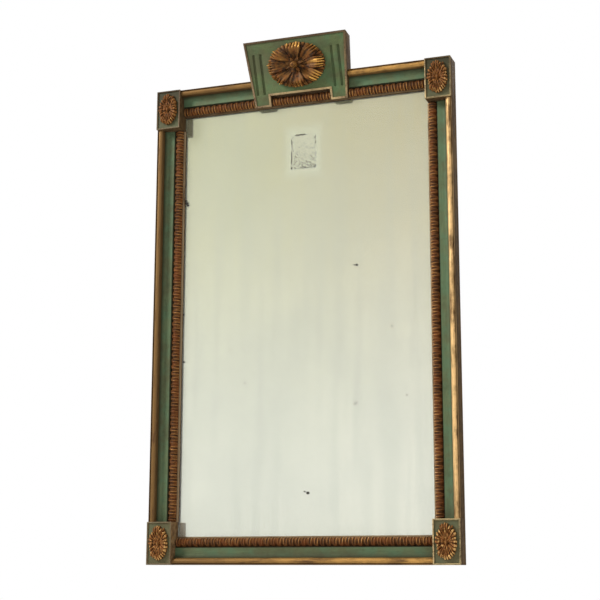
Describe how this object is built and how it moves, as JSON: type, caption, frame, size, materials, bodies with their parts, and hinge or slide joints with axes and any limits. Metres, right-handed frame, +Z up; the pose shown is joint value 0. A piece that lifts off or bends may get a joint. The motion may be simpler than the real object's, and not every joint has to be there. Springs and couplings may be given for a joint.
{
  "type": "trumeau mirror",
  "caption": "Tall rectangular wall mirror in a moulded, painted and gilded wood frame with rosette corner blocks and a leaning keystone crest.",
  "frame": {"origin": "centre of the middle batten's back face, in the wall plane, at the mid-height and mid-width of the frame without its crest", "axes": "+X to the right as seen from the front, +Y into the wall, +Z up; the glass faces -Y"},
  "size_m": [0.9, 0.1316, 1.495],
  "materials": {
    "green_paint": "grey-green paint on wood, matt and a little uneven",
    "gilding": "worn gilding over brown ground on wood, half gloss",
    "carved_gilding": "dark worn gilding on carved wood, brighter on its high parts",
    "bare_pine": "bare aged softwood",
    "glass": "clear polished flat glass",
    "silvering": "aged silver coat on the back of the glass, lost in a few small places",
    "iron": "dark forged iron"
  },
  "bodies": {
    "mirror": {"left_stile": "bare_pine", "right_stile": "bare_pine", "top_rail": "bare_pine", "bottom_rail": "bare_pine", "left_bead": "gilding", "left_frieze": "green_paint", "left_leaf_moulding": "carved_gilding", "left_sight_slip": "gilding", "right_bead": "gilding", "right_frieze": "green_paint", "right_leaf_moulding": "carved_gilding", "right_sight_slip": "gilding", "bottom_bead": "gilding", "bottom_frieze": "green_paint", "bottom_leaf_moulding": "carved_gilding", "bottom_sight_slip": "gilding", "top_left_bead": "gilding", "top_right_bead": "gilding", "top_left_frieze": "green_paint", "top_right_frieze": "green_paint", "top_left_leaf_moulding": "carved_gilding", "top_right_leaf_moulding": "carved_gilding", "top_middle_leaf_moulding": "carved_gilding", "top_sight_slip": "gilding", "top_left_corner_block": "green_paint", "top_left_corner_rosette": "carved_gilding", "top_right_corner_block": "green_paint", "top_right_corner_rosette": "carved_gilding", "bottom_left_corner_block": "green_paint", "bottom_left_corner_rosette": "carved_gilding", "bottom_right_corner_block": "green_paint", "bottom_right_corner_rosette": "carved_gilding", "crest_tablet": "green_paint", "crest_left_screw": "iron", "crest_right_screw": "iron", "crest_rosette": "carved_gilding", "crest_left_glue_block": "bare_pine", "crest_right_glue_block": "bare_pine", "mirror_glass": "glass", "silvering": "silvering", "back_board_1": "bare_pine", "back_board_2": "bare_pine", "back_board_3": "bare_pine", "upper_batten": "bare_pine", "middle_batten": "bare_pine", "lower_batten": "bare_pine", "upper_batten_left_screw": "iron", "upper_batten_right_screw": "iron", "middle_batten_left_screw": "iron", "middle_batten_right_screw": "iron", "lower_batten_left_screw": "iron", "lower_batten_right_screw": "iron", "left_hanger_plate": "iron", "left_hanger_lower_screw": "iron", "left_hanger_upper_screw": "iron", "right_hanger_plate": "iron", "right_hanger_lower_screw": "iron", "right_hanger_upper_screw": "iron"},
    "left_ring": {"left_hanger_ring": "iron"},
    "right_ring": {"right_hanger_ring": "iron"}
  },
  "joints": [
    {"name": "left_ring_swing", "type": "hinge", "parent": "mirror", "child": "left_ring", "pos_m": [-0.417, -0.0119, 0.44], "axis": [1, 0, 0], "range_deg": [-4, 180]},
    {"name": "right_ring_swing", "type": "hinge", "parent": "mirror", "child": "right_ring", "pos_m": [0.417, -0.0119, 0.44], "axis": [1, 0, 0], "range_deg": [-4, 180]}
  ]
}
